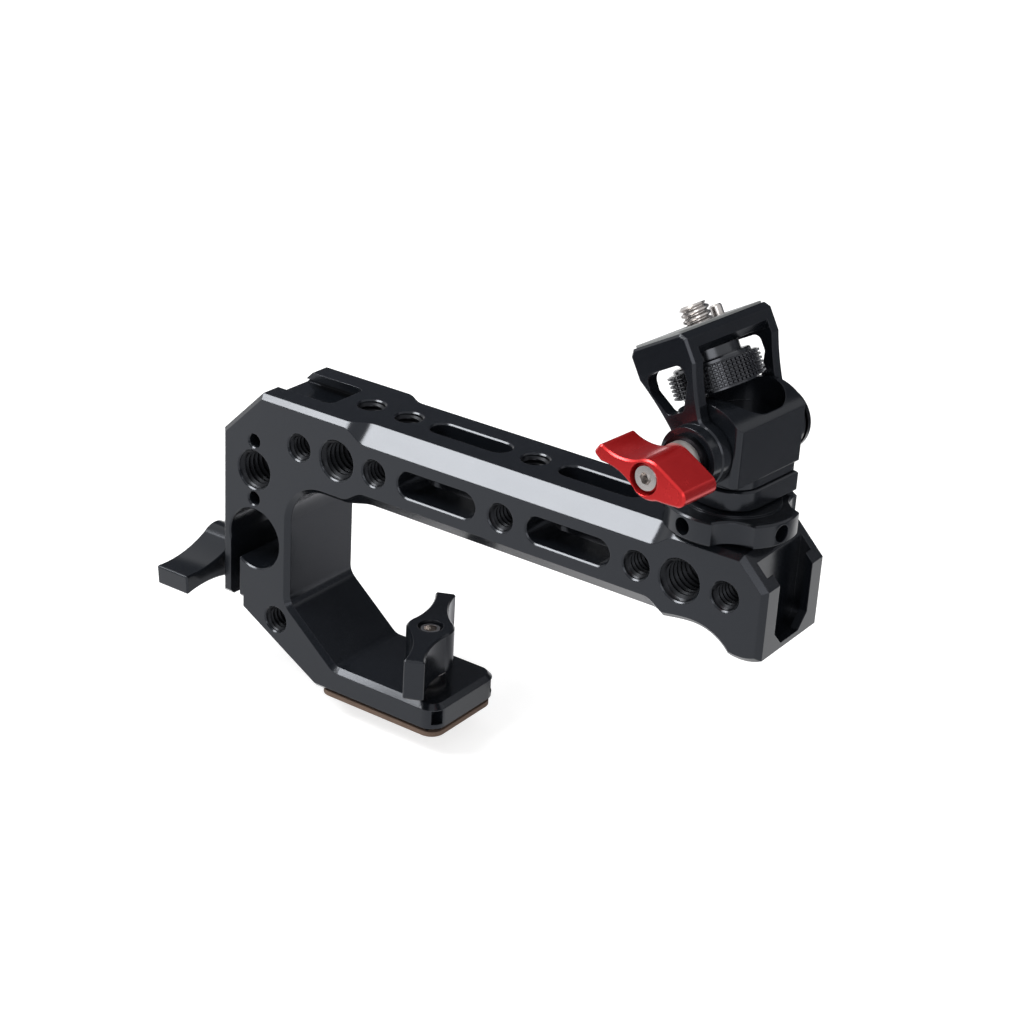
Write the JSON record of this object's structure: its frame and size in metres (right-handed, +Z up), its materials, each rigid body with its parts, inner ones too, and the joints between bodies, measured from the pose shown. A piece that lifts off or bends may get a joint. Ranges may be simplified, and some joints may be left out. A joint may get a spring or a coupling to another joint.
{
  "type": "camera top handle",
  "caption": "Camera top handle with hand opening, threaded accessory holes, rod clamp, screw-down foot and a swivel and tilt monitor mount.",
  "frame": {"origin": "axis of the foot's stud at the underside of the foot pad", "axes": "+Z up, +X along the handle towards the monitor mount, -Y towards the red lever"},
  "size_m": [0.1619, 0.0535, 0.1234],
  "materials": {
    "black_anodised": "black anodised, satin to glossy",
    "black_knurled": "black anodised, knurled rim",
    "red_anodised": "red anodised, satin",
    "steel": "turned stainless steel",
    "black_steel": "blackened steel",
    "brown_rubber": "thin matt pad",
    "grey_rubber": "thin matt pad",
    "nylon": "thin plain discs"
  },
  "bodies": {
    "handle": {"handle_body": "black_anodised", "foot_pad": "brown_rubber", "mount_stud": "steel", "swivel_base": "black_anodised"},
    "clamp_washer": {"rod_clamp_washer": "steel"},
    "rod_knob": {"rod_wing_knob": "black_anodised", "rod_clamp_screw": "steel"},
    "foot_knob": {"foot_wing_knob": "black_anodised", "foot_stud": "steel", "foot_knob_washer": "steel"},
    "lock_wheel_body": {"lock_wheel": "black_anodised"},
    "swivel": {"swivel_block": "black_anodised", "swivel_grub_screw": "black_steel", "tilt_bolt": "black_steel", "friction_washers": "nylon", "spacer_ring": "black_steel", "lever_washer": "steel"},
    "lever": {"tilt_lever": "red_anodised", "lever_screw": "steel"},
    "tilting_bracket": {"bracket": "black_anodised", "bracket_pad": "grey_rubber", "pin_plug": "black_steel", "pin_spring": "steel"},
    "monitor_wheel": {"thumbwheel": "black_knurled", "quarter_inch_screw": "steel"},
    "locating_pin": {"anti_twist_pin": "steel"}
  },
  "joints": [
    {"name": "rod_screw_advance", "type": "slide", "parent": "handle", "child": "clamp_washer", "axis": [-1, 0, 0], "range_m": [0, 0.00161]},
    {"name": "rod_knob_turn", "type": "hinge", "parent": "clamp_washer", "child": "rod_knob", "pos_m": [-0.0547, 0, 0.0216], "axis": [-1, 0, 0], "range_deg": [0, 720]},
    {"name": "foot_knob_turn", "type": "hinge", "parent": "handle", "child": "foot_knob", "pos_m": [0, 0, 0], "axis": [0, 0, 1], "continuous": true},
    {"name": "lock_wheel_turn", "type": "hinge", "parent": "handle", "child": "lock_wheel_body", "pos_m": [0.0762, 0, 0.0724], "axis": [0, 0, 1], "range_deg": [-90, 0]},
    {"name": "swivel_pan", "type": "hinge", "parent": "handle", "child": "swivel", "pos_m": [0.0762, 0, 0.0724], "axis": [0, 0, 1], "continuous": true},
    {"name": "bracket_tilt", "type": "hinge", "parent": "swivel", "child": "tilting_bracket", "pos_m": [0.0762, 0, 0.092], "axis": [0.0872, 0.9962, 0], "range_deg": [-60, 120]},
    {"name": "lever_turn", "type": "hinge", "parent": "swivel", "child": "lever", "pos_m": [0.0762, 0, 0.092], "axis": [-0.0872, -0.9962, 0], "range_deg": [0, 150]},
    {"name": "monitor_wheel_turn", "type": "hinge", "parent": "tilting_bracket", "child": "monitor_wheel", "pos_m": [0.0762, 0, 0.092], "axis": [-0.4981, 0.0436, 0.866], "continuous": true},
    {"name": "pin_press", "type": "slide", "parent": "tilting_bracket", "child": "locating_pin", "axis": [0.4981, -0.0436, -0.866], "range_m": [0, 0.0022], "stiffness_N_per_m": 300, "springref_m": -0.0015, "deforming": ["pin_spring"]}
  ],
  "couplings": [
    {"joint": "rod_screw_advance", "follows": "rod_knob_turn", "m_per_rad": 0.00012732}
  ]
}
